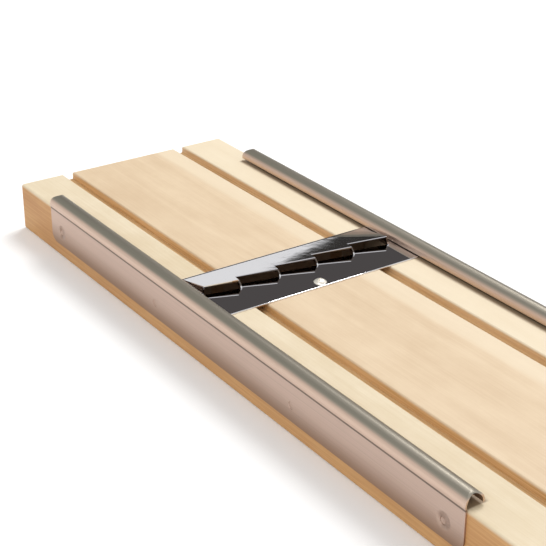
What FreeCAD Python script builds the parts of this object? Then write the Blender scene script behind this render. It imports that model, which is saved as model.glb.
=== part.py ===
# Wooden mandoline slicer: a staved board with two sheet-metal guide rails and
# one pressed cutter plate with a row of skewed mouths over a slice window.
# Origin: centre of the underside.  +Y runs to the far end, +X to the right.
import FreeCAD
import Part
import math
import os

V = FreeCAD.Vector

# ---- board -----------------------------------------------------------------
board_length = 345.0
overall_width = 110.0
board_thickness = 22.0
side_strip = 21.35            # flat top beside each rail, from groove to board side
groove_width = 5.2
groove_depth = 3.5
groove_lip_radius = 0.8
groove_floor_radius = 1.2
board_edge_radius = 1.2
tongue_thickness = 6.0
tongue_length = 6.0
tongue_tip_gap = 0.2
tongue_height = 8.0           # underside of the tongue above the board's underside

# ---- guide rails -----------------------------------------------------------
rail_sheet = 0.7
rail_set_back = 32.3          # from each end of the board to the rail's end
apron_depth = 15.5            # rail's flat skirt, below the board's top
apron_corner_radius = 4.0
bead_radius = 3.9
bead_centre_rise = 1.55       # above the board's top
bead_bulge = 0.25             # bead stands proud of the skirt
bead_end_radius = 2.6
bead_lip_clearance = 0.25     # lip of the bead above the cutter plate's ends

# ---- rail nails ------------------------------------------------------------
nail_end_distance = 9.7       # first nail from the rail's end
nail_inner_distance = 92.4    # second nail from the rail's end
nail_drop = 9.0               # below the board's top
nail_face_radius = 1.4
nail_seat_radius = 1.1        # countersink where the skirt meets the wood
nail_shank_radius = 0.7
nail_seat_depth = 0.6         # countersink in the wood
nail_length = 14.0
nail_face_recess = 0.25
nail_tip_length = 2.0

# ---- cutter plate ----------------------------------------------------------
plate_gauge = 0.6
plate_front = 7.0             # Y of the front edge
plate_depth = 36.8
plate_tuck = 2.3              # how far each end reaches under the rail's lip
back_land = 0.9               # flat strip behind the ramp
lip_rise = 3.45               # ramp's rise at the front of the lips
mouth_count = 5
first_mouth_trim = 3.2        # the left mouth is this much narrower
hood_gap_left = 2.8           # between the hoods and the rail's lip
hood_gap_right = 2.3
lip_front = 17.5              # front corner of each lip, behind the plate's front edge
lip_skew = 4.8                # how far the lip's left end lies behind its right end
lip_step = 1.3
flange_depth = 16.3           # flange's edge at each mouth's right end, behind the front edge
flange_skew = 3.6             # how far the edge's left end lies behind its right end
flange_step = 1.0
web_lean = 0.6                # foot of each web lies this far right of the lip's corner
web_bulge = 0.25
cheek_lean = 0.9

# ---- slice window ----------------------------------------------------------
window_front_cover = 10.3     # flange's seat on the wood
window_side_cover = 4.6       # plate's seat on the wood at each end
window_back_cover = 3.5       # plate's seat on the wood behind

# ---- plate screw -----------------------------------------------------------
screw_from_front = 3.7
screw_head_radius = 2.7
screw_head_height = 1.3
screw_shank_radius = 1.3
screw_length = 13.0
screw_tip_length = 3.0
screw_slot_width = 0.7
screw_slot_depth = 0.5

# ---- worked out ------------------------------------------------------------
half_length = board_length / 2.0
half_overall = overall_width / 2.0
apron_face = half_overall - bead_bulge
board_half = apron_face - rail_sheet
groove_outer = board_half - side_strip
panel_half = groove_outer - groove_width
top = board_thickness
bead_centre_x = half_overall - bead_radius
bead_centre_z = top + bead_centre_rise
lip_height = plate_gauge + bead_lip_clearance + rail_sheet / 2.0
lip_angle = math.pi - math.asin((lip_height - bead_centre_rise) / bead_radius)
lip_x = bead_centre_x + bead_radius * math.cos(lip_angle)
rail_half_length = half_length - rail_set_back
plate_back = plate_front + plate_depth
plate_half = lip_x + plate_tuck
bend_y = plate_back - back_land
row_left = -(lip_x - hood_gap_left)
row_right = lip_x - hood_gap_right
mouth_pitch = (row_right - row_left + first_mouth_trim) / mouth_count
lip_front_y = plate_front + lip_front
ramp_slope = lip_rise / (bend_y - lip_front_y)
flange_front_y = plate_front + flange_depth
window_front_y = plate_front + window_front_cover
window_back_y = plate_back - window_back_cover
window_half = plate_half - window_side_cover
over = 1.0                    # how far a cutting tool runs past a face


def box(x0, x1, y0, y1, z0, z1):
    return Part.makeBox(x1 - x0, y1 - y0, z1 - z0, V(x0, y0, z0))


def wire_of(points):
    return Part.makePolygon(points + [points[0]])


def prism(points, direction):
    return Part.Face(wire_of(points)).extrude(direction)


def mirrored(shape):
    return shape.mirror(V(0, 0, 0), V(1, 0, 0))


def single(shape):
    """The shape as one clean solid."""
    clean = shape.removeSplitter()
    return clean.Solids[0] if len(clean.Solids) == 1 else clean


def rounded_outline(corners, plane_point):
    """A closed wire through (a, b, radius) corners; plane_point maps (a, b) to 3-D."""
    edges = []
    count = len(corners)
    ends = []
    for i in range(count):
        a, b, radius = corners[i]
        pa, pb, _ = corners[i - 1]
        na, nb, _ = corners[(i + 1) % count]
        here = V(a, b, 0)
        before = (V(pa, pb, 0) - here).normalize()
        after = (V(na, nb, 0) - here).normalize()
        if radius <= 0:
            ends.append((here, None, here))
            continue
        half_turn = before.getAngle(after) / 2.0
        reach = radius / math.tan(half_turn)
        middle = (before + after).normalize()
        centre = here + middle * (radius / math.sin(half_turn))
        ends.append((here + before * reach, centre - middle * radius, here + after * reach))
    for i in range(count):
        start, mid, stop = ends[i]
        if mid is not None:
            edges.append(Part.Arc(plane_point(start), plane_point(mid), plane_point(stop)).toShape())
        following = ends[(i + 1) % count][0]
        edges.append(Part.LineSegment(plane_point(stop), plane_point(following)).toShape())
    return Part.Wire(edges)


def along_y(corners, y0, y1):
    """A section in X and Z, run from y0 to y1."""
    wire = rounded_outline(corners, lambda p: V(p.x, y0, p.y))
    return Part.Face(wire).extrude(V(0, y1 - y0, 0))


# ---- board -----------------------------------------------------------------
def board_envelope():
    """The whole board with its outer edges eased."""
    block = box(-board_half, board_half, -half_length, half_length, 0, top)
    return block.makeFillet(board_edge_radius, block.Edges)


def slice_window():
    return box(-window_half, window_half, window_front_y, window_back_y, -over, top + over)


def right_stile_blank():
    tongue_top = tongue_height + tongue_thickness
    slot_bottom = panel_half + tongue_length
    groove_floor = top - groove_depth
    corners = [
        (panel_half, 0, 0),
        (board_half, 0, 0),
        (board_half, top, 0),
        (groove_outer, top, groove_lip_radius),
        (groove_outer, groove_floor, groove_floor_radius),
        (panel_half, groove_floor, 0),
        (panel_half, tongue_top, 0),
        (slot_bottom, tongue_top, 0),
        (slot_bottom, tongue_height, 0),
        (panel_half, tongue_height, 0),
    ]
    return along_y(corners, -half_length, half_length)


def nail_hole_cutters():
    """Right-hand countersunk holes, the same in the skirt and the wood."""
    seat = board_half - nail_seat_depth
    shank_end = board_half - nail_length
    cutters = []
    for y in nail_places():
        z = top - nail_drop
        skirt = Part.makeCone(
            nail_seat_radius, skirt_mouth_radius(), rail_sheet, V(board_half, y, z), V(1, 0, 0))
        seat_cone = Part.makeCone(
            nail_shank_radius, nail_seat_radius, nail_seat_depth, V(seat, y, z), V(1, 0, 0))
        shank = Part.makeCylinder(
            nail_shank_radius, nail_length - nail_seat_depth - nail_tip_length,
            V(shank_end + nail_tip_length, y, z), V(1, 0, 0))
        tip = Part.makeCone(
            nail_shank_radius / 8, nail_shank_radius, nail_tip_length, V(shank_end, y, z), V(1, 0, 0))
        cutters.append((skirt, seat_cone.fuse([shank, tip])))
    return cutters


def skirt_mouth_radius():
    """Radius of the countersink at the skirt's outer face, in line with its seat."""
    per_depth = (nail_face_radius - nail_seat_radius) / (rail_sheet - nail_face_recess)
    return nail_seat_radius + per_depth * rail_sheet


def nail_places():
    return [sign * (rail_half_length - distance)
            for distance in (nail_end_distance, nail_inner_distance) for sign in (1, -1)]


def stile():
    blank = right_stile_blank().common(board_envelope()).cut(slice_window())
    return single(blank.cut([wood for _, wood in nail_hole_cutters()]))


def panel(y0, y1):
    tongue_end = panel_half + tongue_length - tongue_tip_gap
    tongue_top = tongue_height + tongue_thickness
    right = [
        (panel_half, 0, 0),
        (panel_half, tongue_height, 0),
        (tongue_end, tongue_height, 0),
        (tongue_end, tongue_top, 0),
        (panel_half, tongue_top, 0),
        (panel_half, top, groove_lip_radius),
    ]
    left = [(-x, z, radius) for x, z, radius in reversed(right)]
    return along_y(right + left, y0, y1).common(board_envelope())


def near_panel():
    return single(panel(-half_length, window_front_y).cut(screw_body()))


def far_panel():
    return single(panel(window_back_y, half_length))


# ---- guide rails -----------------------------------------------------------
def bead_point(radius, angle):
    return V(bead_centre_x + radius * math.cos(angle), 0, bead_centre_z + radius * math.sin(angle))


def rail():
    """Right-hand rail: flat skirt outside, rolled bead on top, lip just above the board."""
    inner_radius = bead_radius - rail_sheet
    outer_start = -math.acos((apron_face - bead_centre_x) / bead_radius)
    inner_start = -math.acos((board_half - bead_centre_x) / inner_radius)
    apron_bottom = top - apron_depth
    outer_low = V(apron_face, 0, apron_bottom)
    inner_low = V(board_half, 0, apron_bottom)
    outer_first = bead_point(bead_radius, outer_start)
    inner_first = bead_point(inner_radius, inner_start)
    outer_last = bead_point(bead_radius, lip_angle)
    inner_last = bead_point(inner_radius, lip_angle)
    lip_out = (outer_last + inner_last) * 0.5 + V(
        math.sin(lip_angle), 0, -math.cos(lip_angle)) * -(rail_sheet / 2.0)
    edges = [
        Part.LineSegment(inner_low, outer_low).toShape(),
        Part.LineSegment(outer_low, outer_first).toShape(),
        Part.Arc(outer_first, bead_point(bead_radius, math.pi / 2), outer_last).toShape(),
        Part.Arc(outer_last, lip_out, inner_last).toShape(),
        Part.Arc(inner_last, bead_point(inner_radius, math.pi / 2), inner_first).toShape(),
        Part.LineSegment(inner_first, inner_low).toShape(),
    ]
    strip = Part.Face(Part.Wire(edges)).extrude(V(0, 2 * rail_half_length, 0))
    strip.translate(V(0, -rail_half_length, 0))
    bead_top = bead_centre_z + bead_radius
    side = [
        (-rail_half_length, apron_bottom, apron_corner_radius),
        (rail_half_length, apron_bottom, apron_corner_radius),
        (rail_half_length, bead_top, bead_end_radius),
        (-rail_half_length, bead_top, bead_end_radius),
    ]
    profile = Part.Face(rounded_outline(side, lambda p: V(0, p.x, p.y)))
    trimmed = strip.common(profile.extrude(V(overall_width, 0, 0)))
    return single(trimmed.cut([skirt for skirt, _ in nail_hole_cutters()]))


def rail_nails():
    """The right rail's nails: countersunk heads a little below the skirt's face."""
    face_x = apron_face - nail_face_recess
    seat_x = board_half - nail_seat_depth
    tip_x = board_half - nail_length
    nails = []
    for y in nail_places():
        outline = [
            V(tip_x, y, 0),
            V(tip_x, y, nail_shank_radius / 8),
            V(tip_x + nail_tip_length, y, nail_shank_radius),
            V(seat_x, y, nail_shank_radius),
            V(board_half, y, nail_seat_radius),
            V(face_x, y, nail_face_radius),
            V(face_x, y, 0),
        ]
        nail = Part.Face(wire_of(outline)).revolve(V(0, y, 0), V(1, 0, 0), 360)
        nail.translate(V(0, 0, top - nail_drop))
        nails.append(nail.Solids[0])
    return Part.makeCompound(nails)


# ---- cutter plate ----------------------------------------------------------
def ramp_under(y):
    """Height of the ramp's underside above the board's top."""
    return (bend_y - y) * ramp_slope


def vertex_x(index):
    """X of the flange's corner at the right of mouth number index."""
    return row_right - (mouth_count - 1 - index) * mouth_pitch


def saw_line(front_y, depth, step, shift):
    """Plan points of a saw-toothed edge from the row's left end to its right end."""
    points = []
    start = vertex_x(-1) - shift
    run = mouth_pitch - step
    offset = row_left - start
    points.append((row_left, front_y + depth - depth * offset / run))
    for index in range(mouth_count):
        peak = vertex_x(index) - shift
        points.append((peak - step, front_y))
        points.append((peak, front_y + depth))
    return points


def lip_saw():
    return saw_line(lip_front_y, lip_skew, lip_step, web_lean - lip_step)


def left_lip_y():
    """Y of the first lip's left end, where the left cheek meets it."""
    start, corner = lip_saw()[:2]
    share = cheek_lean / (corner[0] - start[0])
    return start[1] + (corner[1] - start[1]) * share


def ramp_sheet():
    """Flat ramp from the bend to the lips, cut to the lips' saw line in plan."""
    side = [
        V(row_left, bend_y, top),
        V(row_left, bend_y, top + plate_gauge),
        V(row_left, lip_front_y, top + ramp_under(lip_front_y) + plate_gauge),
        V(row_left, lip_front_y, top + ramp_under(lip_front_y)),
    ]
    sheet = prism(side, V(row_right - row_left, 0, 0))
    saw = lip_saw()
    edge = [V(x, y, top) for x, y in saw[:-1]]
    corner_x = saw[-2][0]
    first = V(row_left + cheek_lean, left_lip_y(), top)
    plan = [V(row_left, bend_y, top), first] + edge[1:]
    plan += [V(corner_x, lip_front_y, top), V(row_right, bend_y, top)]
    return sheet.common(prism(plan, V(0, 0, lip_rise + 2 * plate_gauge)))


def flange():
    saw = saw_line(flange_front_y, flange_skew, flange_step, -flange_step)
    plan = [V(x, y, top) for x, y in saw]
    plan += [V(saw[-1][0], plate_front, top), V(row_left, plate_front, top)]
    return prism(plan, V(0, 0, plate_gauge))


def web_ring(x, y0, y1, step, height):
    """A ring across a web, from its front end at x and y0 back to y1; height gives z from y."""
    half = plate_gauge / 2.0
    return wire_of([
        V(x - half, y0, height(y0)),
        V(x + half, y0, height(y0)),
        V(x + half + step, y1, height(y1)),
        V(x - half + step, y1, height(y1))])


def web(index):
    """The wall of metal between two mouths, from the flange's step up to the lips' step."""
    foot_x = vertex_x(index)
    head_x = foot_x - web_lean
    foot_back = flange_front_y + flange_skew
    head_back = lip_front_y + lip_skew

    def head_height(y):
        return top + ramp_under(y) + plate_gauge / 2

    def middle_height(y):
        return (top + plate_gauge + head_height(y)) / 2

    rings = [
        web_ring(foot_x, flange_front_y, foot_back, flange_step, lambda y: top),
        web_ring(foot_x, flange_front_y, foot_back, flange_step, lambda y: top + plate_gauge),
        web_ring((foot_x + head_x) / 2 + web_bulge, (flange_front_y + lip_front_y) / 2,
                 (foot_back + head_back) / 2, (flange_step + lip_step) / 2, middle_height),
        web_ring(head_x, lip_front_y, head_back, lip_step, head_height),
    ]
    return outward(Part.makeLoft(rings, True, True))


def outward(solid):
    """A loft can come out inside out; this turns it the right way."""
    if solid.Volume < 0:
        solid.reverse()
    return solid


def cheek(side):
    """Closes an end of the hood row, from the ramp's end down to the plate's end strip."""
    if side > 0:
        foot = row_right
        head = row_right - web_lean
        head_y = lip_front_y
        foot_y = flange_front_y
    else:
        foot = row_left
        head = row_left + cheek_lean
        head_y = left_lip_y()
        foot_y = head_y
    wall = side * plate_gauge
    rise = ramp_under(head_y)
    inner_y = head_y + (foot_y - head_y) * plate_gauge / (rise + plate_gauge)
    front = wire_of([
        V(foot - wall, foot_y, top),
        V(foot + wall / 4, foot_y, top),
        V(head, head_y, top + rise + plate_gauge),
        V(head - wall, inner_y, top + rise)])
    back_y = bend_y + plate_gauge / 2
    back = wire_of([
        V(foot - wall, back_y, top),
        V(foot + wall / 4, back_y, top),
        V(foot, back_y, top + plate_gauge),
        V(foot - wall, back_y, top + plate_gauge / 2)])
    return outward(Part.makeLoft([front, back], True, True))


def cutter_plate():
    ends = [
        box(-plate_half, row_left, plate_front, plate_back, top, top + plate_gauge),
        box(row_right, plate_half, plate_front, plate_back, top, top + plate_gauge),
    ]
    land = box(row_left, row_right, bend_y, plate_back, top, top + plate_gauge)
    pieces = [land, flange(), ramp_sheet(), cheek(-1), cheek(1)] + ends
    pieces += [web(index) for index in range(mouth_count - 1)]
    plate = pieces[0].fuse(pieces[1:])
    return single(plate.cut(screw_body()))


# ---- plate screw -----------------------------------------------------------
def screw_place():
    return V(0, plate_front + screw_from_front, top + plate_gauge)


def screw_body():
    """Shank with its point, without the head."""
    outline = [
        V(0, 0, 0),
        V(screw_shank_radius, 0, 0),
        V(screw_shank_radius, 0, screw_tip_length - screw_length),
        V(screw_shank_radius / 6, 0, -screw_length),
        V(0, 0, -screw_length),
    ]
    shank = Part.Face(wire_of(outline)).revolve(V(0, 0, 0), V(0, 0, 1), 360)
    shank.translate(screw_place())
    return shank.Solids[0]


def plate_screw():
    """Round-headed wood screw with a plain slot."""
    dome_radius = (screw_head_radius ** 2 + screw_head_height ** 2) / (2 * screw_head_height)
    ball = Part.makeSphere(dome_radius, V(0, 0, screw_head_height - dome_radius))
    head = ball.common(Part.makeCylinder(screw_head_radius, screw_head_height))
    slot = box(-screw_head_radius - over, screw_head_radius + over,
               -screw_slot_width / 2, screw_slot_width / 2,
               screw_head_height - screw_slot_depth, screw_head_height + over)
    slot.rotate(V(0, 0, 0), V(0, 0, 1), 35)
    head = head.cut(slot)
    head.translate(screw_place())
    return single(head.fuse(screw_body()))


right_stile = stile()
right_rail = rail()
right_nails = rail_nails()

nodes = {
    "left_stile": mirrored(right_stile),
    "right_stile": right_stile,
    "far_panel": far_panel(),
    "near_panel": near_panel(),
    "cutter_plate": cutter_plate(),
    "plate_screw": plate_screw(),
    "left_rail": mirrored(right_rail),
    "right_rail": right_rail,
    "left_rail_nails": mirrored(right_nails),
    "right_rail_nails": right_nails,
}

os.makedirs("parts", exist_ok=True)
for name, shape in nodes.items():
    shape.exportStep("parts/" + name + ".step")
    bounds = shape.BoundBox
    print(name, "solids", len(shape.Solids), "valid", shape.isValid(),
          "volume", round(shape.Volume, 1),
          "x", round(bounds.XMin, 2), round(bounds.XMax, 2),
          "y", round(bounds.YMin, 2), round(bounds.YMax, 2),
          "z", round(bounds.ZMin, 2), round(bounds.ZMax, 2))
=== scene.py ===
import math
import bpy
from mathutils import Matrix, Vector


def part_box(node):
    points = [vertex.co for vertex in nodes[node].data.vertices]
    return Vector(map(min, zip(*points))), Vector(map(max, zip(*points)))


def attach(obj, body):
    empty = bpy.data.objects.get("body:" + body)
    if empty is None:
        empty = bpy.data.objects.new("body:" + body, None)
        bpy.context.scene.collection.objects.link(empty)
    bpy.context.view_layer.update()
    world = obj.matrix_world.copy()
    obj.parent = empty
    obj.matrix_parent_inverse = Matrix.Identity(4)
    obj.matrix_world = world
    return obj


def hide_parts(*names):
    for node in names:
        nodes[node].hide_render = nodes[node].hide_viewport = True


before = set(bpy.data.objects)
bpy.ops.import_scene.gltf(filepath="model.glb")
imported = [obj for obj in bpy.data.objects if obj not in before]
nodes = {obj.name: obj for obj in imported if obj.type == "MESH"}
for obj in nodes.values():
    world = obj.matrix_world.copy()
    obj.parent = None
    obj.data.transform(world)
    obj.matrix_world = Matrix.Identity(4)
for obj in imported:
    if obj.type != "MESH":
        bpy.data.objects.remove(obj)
bpy.ops.object.select_all(action="DESELECT")
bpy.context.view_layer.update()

# The viewpoint: low over the near left corner, looking down the board to the far end.
# A long lens, so that the board's edges run almost parallel.
eye = Vector((-0.3044, -0.4054, 0.2766))
look_down = math.radians(25.9)
look_right = math.radians(34.1)
bpy.ops.object.camera_add(location=eye, rotation=(math.pi / 2 - look_down, 0, -look_right))
camera = bpy.context.object
camera.data.lens = 95.1
camera.data.sensor_width = 36
camera.data.clip_start = 0.01
camera.data.clip_end = 100
bpy.context.scene.camera = camera
camera.select_set(False)


# ---- Board -------------------------------------------------------------------------------
# Two full-length side staves and two centre panels of planed, unvarnished beech, tongued
# together, with a groove along each joint and the slice window milled through.
class Link:
    """A socket of a material's nodes; arithmetic on it adds Math nodes to the same tree."""

    def __init__(self, tree, socket=None):
        self.tree = tree
        self.socket = socket

    def node(self, kind, settings, values, output=0):
        """Any node: its settings are set first, then the values or links of its sockets."""
        made = self.tree.nodes.new("ShaderNode" + kind)
        for name, value in settings.items():
            setattr(made, name, value)
        for name, value in values.items():
            if isinstance(value, Link):
                self.tree.links.new(value.socket, made.inputs[name])
            else:
                made.inputs[name].default_value = value
        return Link(self.tree, made.outputs[output])

    def maths(self, operation, other=0.0):
        return self.node("Math", {"operation": operation}, {0: self, 1: other})

    def __add__(self, other):
        return self.maths("ADD", other)

    def __sub__(self, other):
        return self.maths("SUBTRACT", other)

    def __rsub__(self, other):
        return self.node("Math", {"operation": "SUBTRACT"}, {0: other, 1: self})

    def __mul__(self, other):
        return self.maths("MULTIPLY", other)

    def __abs__(self):
        return self.maths("ABSOLUTE")

    __radd__ = __add__
    __rmul__ = __mul__

    def step(self, low, high):
        """0 below low and 1 above high, smooth between; low may be the larger."""
        return self.node("MapRange", {"interpolation_type": "SMOOTHSTEP"},
                         {"Value": self, "From Min": low, "From Max": high})

    def blend(self, one, two):
        """The first colour where this value is 0, the second where it is 1."""
        return self.node("Mix", {"data_type": "RGBA"}, {"Factor": self, 6: one, 7: two}, 2)


def new_finish(name):
    """A fresh material with its Principled shader and a Link that adds nodes to it."""
    material = bpy.data.materials.new(name)
    material.use_nodes = True
    shader = material.node_tree.nodes["Principled BSDF"]
    return material, shader, Link(material.node_tree)


def join(link, shader, socket):
    link.tree.links.new(link.socket, shader.inputs[socket])


def surface_point(link):
    """The point on the piece, then its three coordinates one by one."""
    point = link.node("TexCoord", {}, {}, "Object")
    return (point, *(link.node("SeparateXYZ", {}, {"Vector": point}, axis) for axis in "XYZ"))


def paint(piece, finish):
    piece.data.materials.clear()
    piece.data.materials.append(finish)


def linear(red, green, blue):
    """A colour given as it is seen, 0 to 255, as the shader's own linear values."""
    return tuple(((c / 255 + 0.055) / 1.055) ** 2.4 for c in (red, green, blue)) + (1.0,)


def noise(link, point, scale, detail, roughness, seed):
    return link.node("TexNoise", {"noise_dimensions": "4D"},
                     {"Vector": point, "W": seed, "Scale": scale, "Detail": detail,
                      "Roughness": roughness})


def stretched(link, point, scale, place=(0, 0, 0)):
    return link.node("Mapping", {}, {"Vector": point, "Location": place, "Scale": scale})


board_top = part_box("near_panel")[1].z
board_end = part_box("near_panel")[0].y
board_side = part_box("right_stile")[1].x
groove_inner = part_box("right_stile")[0].x
groove_width = 0.0052
groove_outer = groove_inner + groove_width
window_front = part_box("near_panel")[1].y
window_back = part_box("far_panel")[0].y
window_half = 0.0449


def wood_finish(name, pale, deep, seed):
    """Planed beech, grain along the board: soft figure, fibres, short pores, darker end grain,
    and painted shade on the other cut faces and beside the rails.
    """
    material, shader, link = new_finish(name)
    point, across, along, height = surface_point(link)

    # Growth rings cut lengthwise: long, faint, wavering bands.
    wander = noise(link, stretched(link, point, (22, 2.2, 22), (seed, 0, 0)), 1.0, 3, 0.5, seed)
    rings = (wander * ring_count).maths("PINGPONG", 0.5) * 2.0
    cloud = noise(link, stretched(link, point, (38, 14, 38)), 1.0, 4, 0.6, seed + 7)
    fibre = noise(link, stretched(link, point, (1400, 26, 1400)), 1.0, 3, 0.6, seed)
    fleck = noise(link, stretched(link, point, (2600, 420, 2600)), 1.0, 2, 0.7, seed + 3)
    blotch = noise(link, stretched(link, point, (110, 70, 110)), 1.0, 3, 0.6, seed + 11)
    depth = 0.10 * rings + 0.32 * cloud + 0.30 * blotch + 0.28 * fibre
    colour = depth.step(0.22, 0.72).blend(pale, deep)
    colour = (fleck.step(0.60, 0.74) * 0.22).blend(colour, deep)
    edge = across + 0.004 * (cloud - 0.5)
    colour = (edge.step(band_start, band_start + 0.004) * 0.6).blend(colour, sapwood)

    # A painted shadow of each rail's bead darkens the wood close beside it.
    side = abs(across)
    rail_shadow = side.step(board_side - rail_shadow_reach, board_side - rail_shadow_full)
    rail_shadow = rail_shadow * abs(along).step(rail_shadow_end, rail_shadow_end - 0.001)
    rail_shadow = rail_shadow * height.step(board_top - 0.0002, board_top - 0.0001)
    colour = (rail_shadow * 0.8).blend(colour, rail_shadow_brown)

    # Cut faces: the groove insides are warmer wood darkened with painted shade, the board sides
    # and window walls carry painted shade, and the ends are darker end grain.
    in_groove = side.step(groove_inner - 0.0012, groove_inner - 0.0002)
    in_groove = in_groove * side.step(groove_outer + 0.0004, groove_outer - 0.0002)
    in_groove = in_groove * height.step(board_top - 0.0002, board_top - 0.0012)
    # Painted shade over the warmer wood inside the grooves.
    groove_shade_tone = fibre.step(0.3, 0.75).blend(groove_shade_pale, groove_shade_deep)
    colour = in_groove.blend(colour, groove_shade_tone)
    # Painted shade on the board's outer sides below the rails.
    outside_shade = side.step(board_side - 0.0009, board_side - 0.0001)
    outside_shade = outside_shade * height.step(board_top - 0.0001, board_top - 0.0014)
    side_shade_tone = (0.5 * fibre + 0.5 * cloud).step(0.3, 0.7).blend(side_shade_pale, side_shade_deep)
    colour = outside_shade.blend(colour, side_shade_tone)
    # Painted shade on the walls of the slice window under the plate.
    in_window = along.step(window_front - 0.0003, window_front + 0.0001)
    in_window = in_window * along.step(window_back + 0.0003, window_back - 0.0001)
    in_window = in_window * side.step(window_half + 0.0003, window_half - 0.0002)
    colour = in_window.blend(colour, window_shade_brown)
    speck = noise(link, stretched(link, point, (1500, 1500, 1500)), 1.0, 2, 0.6, seed + 5)
    at_end = abs(along).step(-board_end - 0.0007, -board_end - 0.0001)
    end_tone = speck.step(0.35, 0.7).blend(end_pale, end_deep)
    colour = at_end.blend(colour, end_tone)
    join(colour, shader, "Base Color")

    join(0.5 + 0.12 * fibre, shader, "Roughness")
    relief = fibre * 0.5 + fleck * 0.35
    bump = link.node("Bump", {}, {"Height": relief, "Strength": 0.2, "Distance": 0.0002})
    join(bump, shader, "Normal")
    return material


ring_count = 11.0
# Painted shadow beside the rails: how far in from the board's side it starts and where it is
# full, where it ends along the board, and its brown.
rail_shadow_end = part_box("right_rail")[1].y
rail_shadow_reach = 0.0098
rail_shadow_full = 0.0074
rail_shadow_brown = linear(116, 88, 58)
sapwood = linear(231, 215, 188)
band_start = 0.0155
# Groove insides: warmer wood with painted shade.
groove_shade_pale = linear(220, 184, 136)
groove_shade_deep = linear(188, 148, 96)
# Board sides: painted shade.
side_shade_pale = linear(206, 160, 104)
side_shade_deep = linear(178, 126, 74)
# Window walls: painted shade.
window_shade_brown = linear(112, 74, 48)
end_pale = linear(214, 178, 132)
end_deep = linear(176, 130, 84)
side_wood = wood_finish("side_wood", linear(229, 215, 189), linear(211, 192, 159), 1.0)
panel_wood = wood_finish("panel_wood", linear(224, 202, 171), linear(206, 180, 147), 5.0)
for name, finish in (("left_stile", side_wood), ("right_stile", side_wood),
                     ("near_panel", panel_wood), ("far_panel", panel_wood)):
    paint(nodes[name], finish)


# ---- Guide rails -------------------------------------------------------------------------
# Two strips of thin sheet metal, nailed to the sides of the board and rolled into a bead
# along the top edge; the bead's lip ends just above the board and the plate's ends.
def eased(node, name, ease, angle, smooth, rolled=()):
    """A copy of a CAD node with its edges sharper than angle rounded, riding in its place.
    rolled lists softer bends: a test of an edge's middle, and how wide its rounding is.
    Faces that meet at less than smooth are shaded as one."""
    piece = bpy.data.objects.new(name, nodes[node].data.copy())
    bpy.context.scene.collection.objects.link(piece)
    bpy.context.view_layer.objects.active = piece
    piece.select_set(True)
    bpy.ops.object.mode_set(mode="EDIT")
    bpy.ops.mesh.select_all(action="SELECT")
    bpy.ops.mesh.remove_doubles(threshold=merge_distance)
    bpy.ops.mesh.dissolve_limited(angle_limit=flat_angle)
    bpy.ops.mesh.normals_make_consistent(inside=False)
    bpy.ops.mesh.customdata_custom_splitnormals_clear()
    for chosen, width in rolled:
        bpy.ops.mesh.select_all(action="DESELECT")
        bpy.ops.object.mode_set(mode="OBJECT")
        for edge in piece.data.edges:
            ends = [piece.data.vertices[i].co for i in edge.vertices]
            edge.select = chosen((ends[0] + ends[1]) / 2, (ends[0] - ends[1]).normalized())
        bpy.ops.object.mode_set(mode="EDIT")
        bpy.ops.mesh.select_mode(type="EDGE")
        bpy.ops.mesh.bevel(offset=width, segments=4)
    bpy.ops.object.mode_set(mode="OBJECT")
    bevel = piece.modifiers.new("ease", "BEVEL")
    bevel.width = ease
    bevel.segments = 3
    bevel.limit_method = "ANGLE"
    bevel.angle_limit = angle
    bpy.ops.object.modifier_apply(modifier="ease")
    bpy.ops.object.shade_smooth_by_angle(angle=smooth)
    piece.modifiers.new("flats", "WEIGHTED_NORMAL").keep_sharp = True
    bpy.ops.object.modifier_apply(modifier="flats")
    piece.select_set(False)
    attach(piece, "root")
    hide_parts(node)
    return piece


merge_distance = 0.000002
flat_angle = math.radians(0.4)


def rail_finish():
    """Rolled sheet metal: fine scratches along the rail; on the skirt a painted warm reflection
    fading to painted shade lower down, painted reflections on the bead and painted shade in the
    crease below it."""
    material, shader, link = new_finish("rail_metal")
    point, across, along, height = surface_point(link)
    scratch = noise(link, stretched(link, point, (2600, 9, 2600)), 1.0, 3, 0.65, 2.0)
    smear = noise(link, stretched(link, point, (30, 12, 60)), 1.0, 3, 0.55, 4.0)
    skirt = height.step(board_top + 0.0012, board_top - 0.0006)
    skirt = skirt * abs(across).step(board_side - 0.0010, board_side)
    # The skirt is painted with a warm reflection at the top that fades to painted shade lower
    # down.
    low = (height + smear * 0.004).step(board_top - 0.003, board_top - 0.0155)
    warm = low.blend(skirt_reflection_top, skirt_shade_low)
    # The bead carries painted reflections: grey on its crown, pink on its flanks.
    crown = height.step(crown_low, crown_high)
    colour = skirt.blend(crown.blend(flank_reflection_pink, crown_reflection_grey), warm)
    colour = (scratch.step(0.45, 0.75) * 0.25).blend(colour, scratch_dark)
    # Painted shade in the crease under the bead.
    crease = height.step(board_top - 0.0005, board_top - 0.0001)
    crease = crease * height.step(board_top + 0.0007, board_top + 0.0003)
    crease = crease * abs(across).step(board_side + 0.0001, board_side + 0.0004)
    colour = (crease * 0.75).blend(colour, crease_shade_dark)
    join(colour, shader, "Base Color")
    shader.inputs["Metallic"].default_value = 1.0
    join(0.34 + 0.12 * scratch + 0.06 * skirt, shader, "Roughness")
    # The end nails were driven home hard enough to dish the sheet round their heads.
    away = abs(along) - dish_along
    off = height - nail_height
    reach = (away * away + off * off).maths("SQRT")
    dish = reach.step(0.0005, dish_radius)
    bump = link.node("Bump", {}, {"Height": scratch, "Strength": 0.12, "Distance": 0.0001})
    dent = link.node("Bump", {}, {"Height": dish, "Normal": bump, "Strength": 1.0,
                                  "Distance": 0.0016})
    join(dent, shader, "Normal")
    return material


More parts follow.
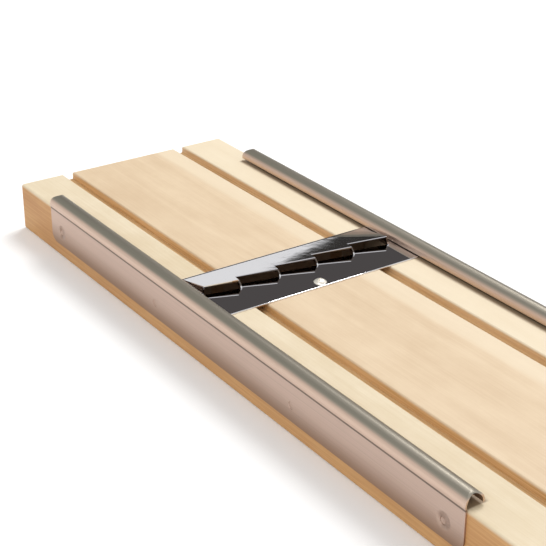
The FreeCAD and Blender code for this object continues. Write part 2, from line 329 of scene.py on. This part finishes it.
# Heights of the painted grey reflection on the bead's crown.
crown_low = board_top + 0.0034
crown_high = board_top + 0.0046
nail_radius = 0.0014
dish_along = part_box("right_rail_nails")[1].y - nail_radius
dish_radius = 0.0036
nail_height = board_top - 0.009
# Skirt: painted warm reflection at the top, painted shade lower down.
skirt_reflection_top = linear(200, 176, 162)
skirt_shade_low = linear(152, 122, 100)
# Bead: painted grey reflection on the crown, painted pink reflection on the flanks.
crown_reflection_grey = linear(164, 157, 144)
flank_reflection_pink = linear(212, 186, 168)
scratch_dark = linear(150, 140, 130)
# Painted shade in the crease.
crease_shade_dark = linear(70, 60, 54)
rail_metal = rail_finish()
small_ease = 0.00012
for name in ("left_rail_nails", "right_rail_nails"):
    paint(nodes[name], rail_metal)
for side in ("left", "right"):
    strip = eased(side + "_rail", side + "_beaded_rail", small_ease, math.radians(40),
                  math.radians(35))
    paint(strip, rail_metal)


# ---- Cutter plate ------------------------------------------------------------------------
# One pressed sheet of polished stainless steel: a flat strip along each edge, and a ramp
# whose front edge is cut and raised into five skewed mouths over the slice window.
def plate_finish():
    """Mirror-polished steel with faint haze; the lips' sheared fronts below their edges are
    painted dull brown: the cut steel's duller finish, darkened further as a painted dark
    reflection.
    """
    material, shader, link = new_finish("plate_steel")
    point, _, along, height = surface_point(link)
    shader.inputs["Metallic"].default_value = 1.0
    # The lips' fronts: the cut steel's duller finish, darkened as a painted dark reflection.
    below = (ramp_start - along) * ramp_slope + sheet_top - height
    lip_front_band = below.step(0.00026, 0.00040) * height.step(sheet_top + 0.0007, sheet_top + 0.0011)
    join(lip_front_band.blend(polished_steel, dull_steel_and_shade), shader, "Base Color")
    haze = noise(link, stretched(link, point, (90, 60, 90)), 1.0, 3, 0.6, 3.0)
    hair = noise(link, stretched(link, point, (500, 2400, 500)), 1.0, 2, 0.7, 6.0)
    join(0.02 + 0.02 * haze.step(0.4, 0.8) + 0.04 * hair.step(0.60, 0.78), shader, "Roughness")
    bump = link.node("Bump", {}, {"Height": haze, "Strength": 0.04, "Distance": 0.0004})
    join(bump, shader, "Normal")
    return material


polished_steel = linear(228, 227, 230)
# Lip fronts: duller cut steel darkened as a painted reflection.
dull_steel_and_shade = linear(104, 95, 88)
plate_gauge = 0.0006
back_land = 0.0009
lip_set_back = 0.0175
lip_skew = 0.005
plate_low, plate_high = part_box("cutter_plate")
sheet_top = plate_low.z + plate_gauge
ramp_start = plate_high.y - back_land
lip_front = plate_low.y + lip_set_back
ramp_slope = (plate_high.z - sheet_top) / (ramp_start - lip_front)
plate_steel = plate_finish()


def top_edge_at(place):
    """A test for the edge that runs across the flat sheet's top at this Y."""
    def chosen(middle, run):
        return (abs(run.x) > 0.9 and abs(middle.y - place) < 0.0001
                and abs(middle.z - sheet_top) < 0.0001)
    return chosen


def lip_under(middle, run):
    """The lower edge of each lip's front."""
    under = board_top + ramp_slope * (ramp_start - middle.y)
    return (abs(run.x) > 0.9 and middle.y < lip_front + lip_skew
            and middle.z > sheet_top + 0.001 and abs(middle.z - under) < 0.00005)


bends = ((lip_under, 0.0003), (top_edge_at(plate_low.y), 0.0003),
         (top_edge_at(plate_high.y), 0.00045), (top_edge_at(ramp_start), 0.0004))
cutter = eased("cutter_plate", "pressed_plate", 0.00006, math.radians(24), math.radians(8),
               rolled=bends)
paint(cutter, plate_steel)

# ---- Plate screw -------------------------------------------------------------------------
# A round-headed steel screw with a plain slot, holding the plate's front strip to the board.
screw = eased("plate_screw", "slotted_screw", small_ease, math.radians(35), math.radians(35))
screw_steel, screw_shader, _ = new_finish("screw_steel")
screw_shader.inputs["Base Color"].default_value = linear(246, 240, 228)
screw_shader.inputs["Metallic"].default_value = 0.75
screw_shader.inputs["Roughness"].default_value = 0.32
paint(screw, screw_steel)

# ---- Studio ------------------------------------------------------------------------------
# A plain pale floor under soft light, with one dark side for the polished steel to mirror.
floor_radius = 20
bpy.ops.mesh.primitive_circle_add(vertices=64, radius=floor_radius, fill_type="NGON",
                                  location=(0, 0, 0))
floor = bpy.context.object
floor.name = "floor"
floor_finish, floor_shader, _ = new_finish("floor")
floor_shader.inputs["Base Color"].default_value = (0.97, 0.97, 0.97, 1)
floor_shader.inputs["Roughness"].default_value = 0.8
floor.data.materials.append(floor_finish)


def softbox(name, place, width, power):
    """A square lamp of this width in metres and power in watts, turned to the origin."""
    bpy.ops.object.light_add(type="AREA", location=place)
    lamp = bpy.context.object
    lamp.name = name
    lamp.data.shape = "SQUARE"
    lamp.data.size = width
    lamp.data.energy = power
    lamp.rotation_euler = (-Vector(place)).to_track_quat("-Z", "Y").to_euler()


softbox("key", (0.9, 0.5, 1.5), 0.8, 19)
softbox("fill", (-1.0, -0.6, 1.3), 1.2, 6)

horizon_white = (0.86, 0.86, 0.86, 1)
side_grey = (0.40, 0.42, 0.40, 1)
top_white = (0.62, 0.62, 0.62, 1)
quarter_dark = (0.040, 0.037, 0.034, 1)
overhead_dark = (0.085, 0.078, 0.076, 1)
world = bpy.data.worlds.new("studio")
bpy.context.scene.world = world
world.use_nodes = True
sky = Link(world.node_tree)
direction = sky.node("TexCoord", {}, {}, "Generated")
east = sky.node("SeparateXYZ", {}, {"Vector": direction}, "X")
north = sky.node("SeparateXYZ", {}, {"Vector": direction}, "Y")
up = sky.node("SeparateXYZ", {}, {"Vector": direction}, "Z")
degree = math.degrees(1)
turn = east.maths("ARCTAN2", north) * degree
rise = up.maths("ARCSINE") * degree
# A dark quarter ahead of the viewer, low at its left end, with paler sides and a bright top.
ahead = (turn + 3.3 * rise).step(55.6, 56.7) * turn.step(72.0, 58.0) * rise.step(44.0, 34.0)
ahead = ahead * turn.step(2.0, 22.0)
overhead = rise.step(40.0, 62.0)
side = turn.step(-70.0, -20.0) * turn.step(60.0, 10.0) * rise.step(10.0, 22.0)
glow = overhead.blend(side.blend(horizon_white, side_grey), top_white)
glow = ahead.blend(glow, rise.step(11.0, 18.0).blend(quarter_dark, overhead_dark))
background = world.node_tree.nodes["Background"]
world.node_tree.links.new(glow.socket, background.inputs["Color"])
background.inputs["Strength"].default_value = 1.0
bpy.context.scene.view_settings.view_transform = "Standard"
